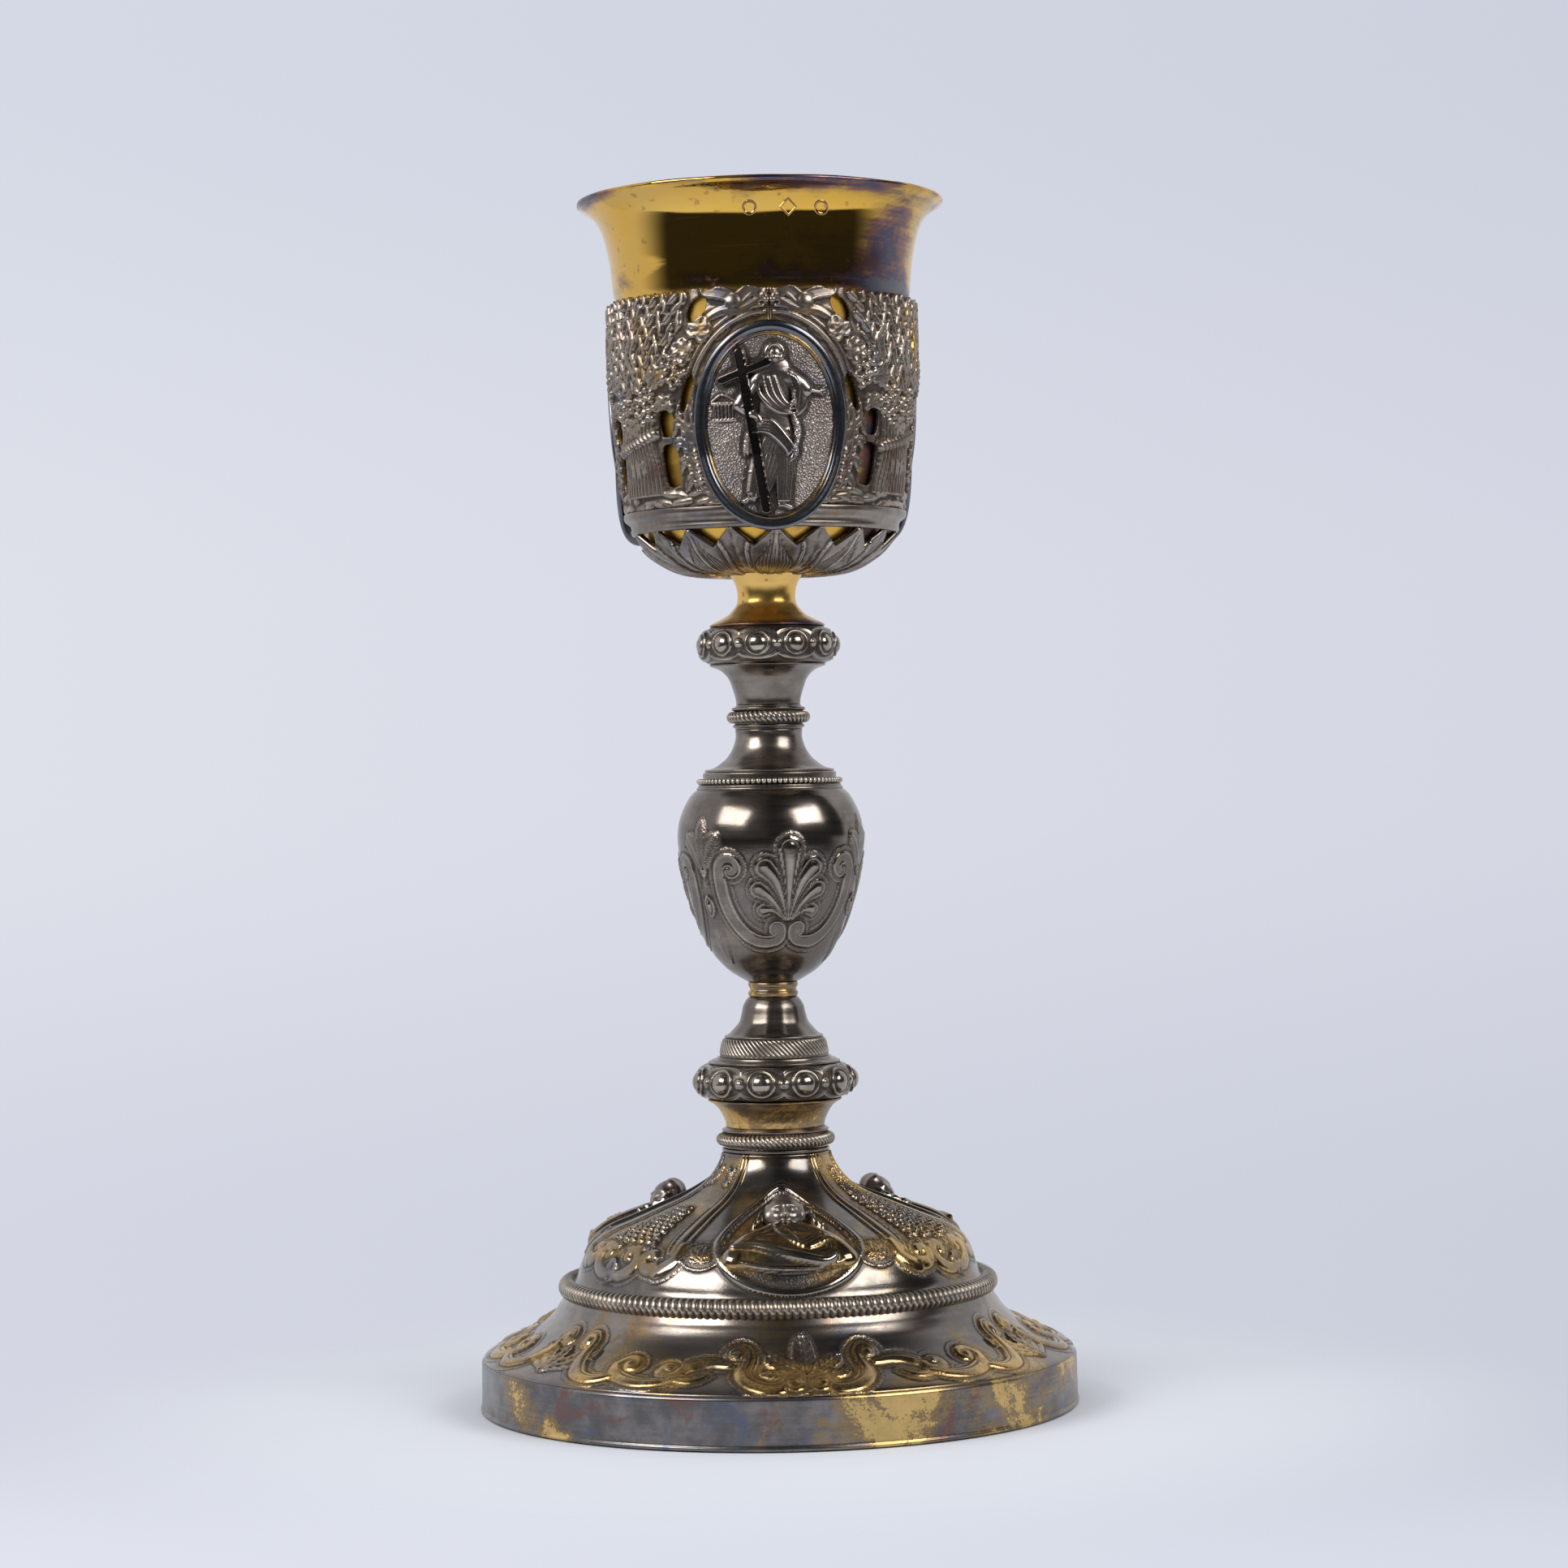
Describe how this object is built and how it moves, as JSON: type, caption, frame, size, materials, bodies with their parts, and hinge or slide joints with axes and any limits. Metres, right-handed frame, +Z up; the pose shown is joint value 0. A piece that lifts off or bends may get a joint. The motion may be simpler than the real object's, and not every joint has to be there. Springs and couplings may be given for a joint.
{
  "type": "communion chalice",
  "caption": "Gilt communion cup in an openwork silver basket, on a knopped stem and a stepped round foot, clamped by a tie rod.",
  "frame": {"origin": "centre of the plane that the foot rests on", "axes": "+Z up along the stem; -Y is the front, with one medallion turned 3 degrees from it towards +X"},
  "size_m": [0.1488, 0.1488, 0.3005],
  "materials": {
    "gilt": "worn fire gilding over silver, scratched and tarnish-spotted",
    "aged_silver": "old polished silver with dark tarnish in its hollows and traces of gilding",
    "oxidised_silver": "chased silver, oxidised dark in the ground, polished on the high relief, patchily gilt",
    "bare_brass": "plain turned brass, dull",
    "steel": "turned steel"
  },
  "bodies": {
    "stem": {"gilt_collar": "gilt", "upper_knop": "aged_silver", "upper_spool": "oxidised_silver", "upper_rope_collar": "aged_silver", "upper_rope_ring": "aged_silver", "neck_spool": "oxidised_silver", "bead_ring": "aged_silver", "nodus_cover": "aged_silver", "nodus_tube": "bare_brass", "nodus": "oxidised_silver", "ferrule": "gilt", "bell_collar": "oxidised_silver", "twisted_band": "aged_silver", "knop_flange": "aged_silver", "lower_knop": "aged_silver", "lower_spool": "gilt", "base_rope_collar": "aged_silver", "base_rope_ring": "aged_silver", "neck_disc": "bare_brass", "foot_dome": "oxidised_silver", "gadroon_ring": "aged_silver", "foot_skirt": "oxidised_silver", "foot_rim": "gilt", "foot_base_ring": "bare_brass", "tie_rod": "steel"},
    "basket": {"basket_panels": "oxidised_silver", "medallion_frames": "aged_silver", "medallion_plaques": "oxidised_silver", "medallion_rivets": "aged_silver", "basket_band": "aged_silver", "leaf_cup": "aged_silver"},
    "cup": {"cup": "gilt", "cup_socket": "bare_brass"},
    "washer": {"clamp_washer": "bare_brass"},
    "nut": {"wing_nut": "bare_brass"}
  },
  "joints": [
    {"name": "cup_turn", "type": "hinge", "parent": "stem", "child": "basket", "pos_m": [0, 0, 0.2], "axis": [0, 0, 1], "range_deg": [0, 2520]},
    {"name": "cup_lift", "type": "slide", "parent": "basket", "child": "cup", "axis": [0, 0, 1], "range_m": [0, 0.0071]},
    {"name": "nut_travel", "type": "slide", "parent": "stem", "child": "washer", "axis": [0, 0, -1], "range_m": [0, 0.007]},
    {"name": "nut_turn", "type": "hinge", "parent": "washer", "child": "nut", "pos_m": [0, 0, 0.056], "axis": [0, 0, 1], "range_deg": [0, 2521]}
  ],
  "couplings": [
    {"joint": "cup_lift", "follows": "cup_turn", "m_per_rad": 0.00015915},
    {"joint": "nut_turn", "follows": "nut_travel", "rad_per_m": 6283.2}
  ]
}
